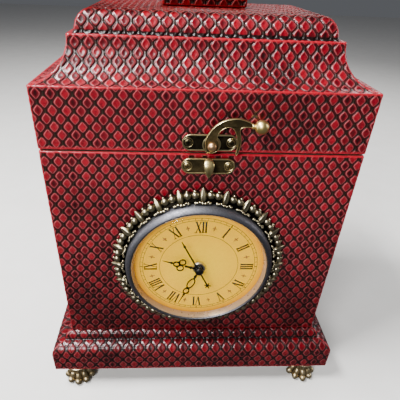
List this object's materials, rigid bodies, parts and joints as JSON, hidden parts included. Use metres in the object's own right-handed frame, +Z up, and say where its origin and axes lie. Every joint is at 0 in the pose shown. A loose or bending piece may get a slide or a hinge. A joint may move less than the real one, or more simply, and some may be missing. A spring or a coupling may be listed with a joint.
{
  "type": "box clock",
  "caption": "Bracket-clock-shaped keepsake box in embossed red leather, with hinged lid, hook latch, front quartz clock, bail handle and paw feet.",
  "frame": {"origin": "on the ground, under the middle of the box", "axes": "+X to the right as seen from the front, +Y to the rear, +Z up; the clock faces -Y"},
  "size_m": [0.206, 0.1576, 0.2906],
  "materials": {
    "red_leather": "glossy red embossed faux leather with dark antiqued grooves",
    "board": "raw medium density fibreboard",
    "black_felt": "black felt",
    "old_brass": "antiqued brass, dark in the hollows and bright on the edges",
    "old_silver": "antiqued silver-brass casting",
    "gunmetal": "smooth dark gunmetal plating",
    "pale_metal": "satin pale metal",
    "clear_glass": "clear domed glass",
    "printed_dial": "golden yellow dial, printed in black",
    "black_hands": "black lacquer",
    "bright_steel": "polished nut",
    "black_plastic": "moulded black plastic",
    "copper_coil": "enamelled copper wire",
    "battery_wrap": "plain printed sleeve",
    "nylon_gear": "moulded natural nylon"
  },
  "bodies": {
    "case": {"case_front_panel": "board", "case_rear_panel": "board", "case_left_panel": "board", "case_right_panel": "board", "case_floor": "board", "case_cover": "red_leather", "case_lining": "black_felt", "plinth_cover": "red_leather", "plinth_frame": "board", "foot_front_left": "old_brass", "foot_front_right": "old_brass", "foot_rear_left": "old_brass", "foot_rear_right": "old_brass", "rear_hinge_case_leaf": "old_brass", "rear_hinge_pin": "old_brass", "hinge_case_screw_1": "old_brass", "hinge_case_screw_2": "old_brass", "hinge_case_screw_3": "old_brass", "latch_lower_plate": "old_brass", "latch_lower_screw_left": "old_brass", "latch_lower_screw_right": "old_brass", "ornate_ring": "old_silver", "bezel": "gunmetal", "lens_ring": "pale_metal", "lens": "clear_glass", "dial": "printed_dial", "movement_nut": "bright_steel", "movement_case": "black_plastic", "movement_cover": "black_plastic", "coil": "copper_coil", "battery": "battery_wrap"},
    "lid": {"lid_cover": "red_leather", "lid_frame": "board", "lid_cove": "board", "lid_top": "board", "lid_lining": "black_felt", "handle_pad": "red_leather", "handle_post_left": "old_brass", "handle_post_right": "old_brass", "rear_hinge_lid_leaf": "old_brass", "hinge_lid_screw_1": "old_brass", "hinge_lid_screw_2": "old_brass", "hinge_lid_screw_3": "old_brass", "latch_upper_plate": "old_brass", "latch_upper_screw_left": "old_brass", "latch_upper_screw_right": "old_brass", "latch_rivet": "old_brass"},
    "hook": {"latch_hook": "old_brass"},
    "bail": {"handle_bail": "old_brass"},
    "seconds": {"second_wheel": "nylon_gear", "second_hand": "black_hands"},
    "minutes": {"centre_wheel": "nylon_gear", "minute_hand": "black_hands"},
    "hours": {"hour_wheel": "nylon_gear", "hour_hand": "black_hands"},
    "third": {"third_wheel": "nylon_gear"},
    "motion": {"motion_wheel": "nylon_gear"},
    "fifth": {"fifth_wheel": "nylon_gear"},
    "rotor": {"rotor": "nylon_gear"}
  },
  "joints": [
    {"name": "lid_hinge", "type": "hinge", "parent": "case", "child": "lid", "pos_m": [0, 0.0657, 0.1897], "axis": [-1, 0, 0], "range_deg": [0, 100]},
    {"name": "latch_hook_pivot", "type": "hinge", "parent": "lid", "child": "hook", "pos_m": [0.0029, -0.0666, 0.1954], "axis": [0, 1, 0], "range_deg": [-20, 78]},
    {"name": "handle_bail_pivot", "type": "hinge", "parent": "lid", "child": "bail", "pos_m": [0, 0, 0.2697], "axis": [1, 0, 0], "range_deg": [-80, 80]},
    {"name": "seconds_spin", "type": "hinge", "parent": "case", "child": "seconds", "pos_m": [0, -0.066, 0.1127], "axis": [0, 1, 0], "continuous": true},
    {"name": "minutes_spin", "type": "hinge", "parent": "case", "child": "minutes", "pos_m": [0, -0.066, 0.1127], "axis": [0, 1, 0], "continuous": true},
    {"name": "hours_spin", "type": "hinge", "parent": "case", "child": "hours", "pos_m": [0, -0.066, 0.1127], "axis": [0, 1, 0], "continuous": true},
    {"name": "third_wheel_spin", "type": "hinge", "parent": "case", "child": "third", "pos_m": [0.00298, -0.0612, 0.12381], "axis": [0, 1, 0], "continuous": true},
    {"name": "motion_wheel_spin", "type": "hinge", "parent": "case", "child": "motion", "pos_m": [-0.01231, -0.064, 0.11487], "axis": [0, 1, 0], "continuous": true},
    {"name": "fifth_wheel_spin", "type": "hinge", "parent": "case", "child": "fifth", "pos_m": [0.011, -0.058, 0.1127], "axis": [0, 1, 0], "continuous": true},
    {"name": "rotor_spin", "type": "hinge", "parent": "case", "child": "rotor", "pos_m": [0.02106, -0.055, 0.11636], "axis": [0, 1, 0], "continuous": true}
  ],
  "couplings": [
    {"joint": "minutes_spin", "follows": "seconds_spin", "ratio": 0.016667},
    {"joint": "hours_spin", "follows": "seconds_spin", "ratio": 0.0013889},
    {"joint": "third_wheel_spin", "follows": "seconds_spin", "ratio": -0.13333},
    {"joint": "motion_wheel_spin", "follows": "seconds_spin", "ratio": -0.0055556},
    {"joint": "fifth_wheel_spin", "follows": "seconds_spin", "ratio": -4},
    {"joint": "rotor_spin", "follows": "seconds_spin", "ratio": 30}
  ]
}
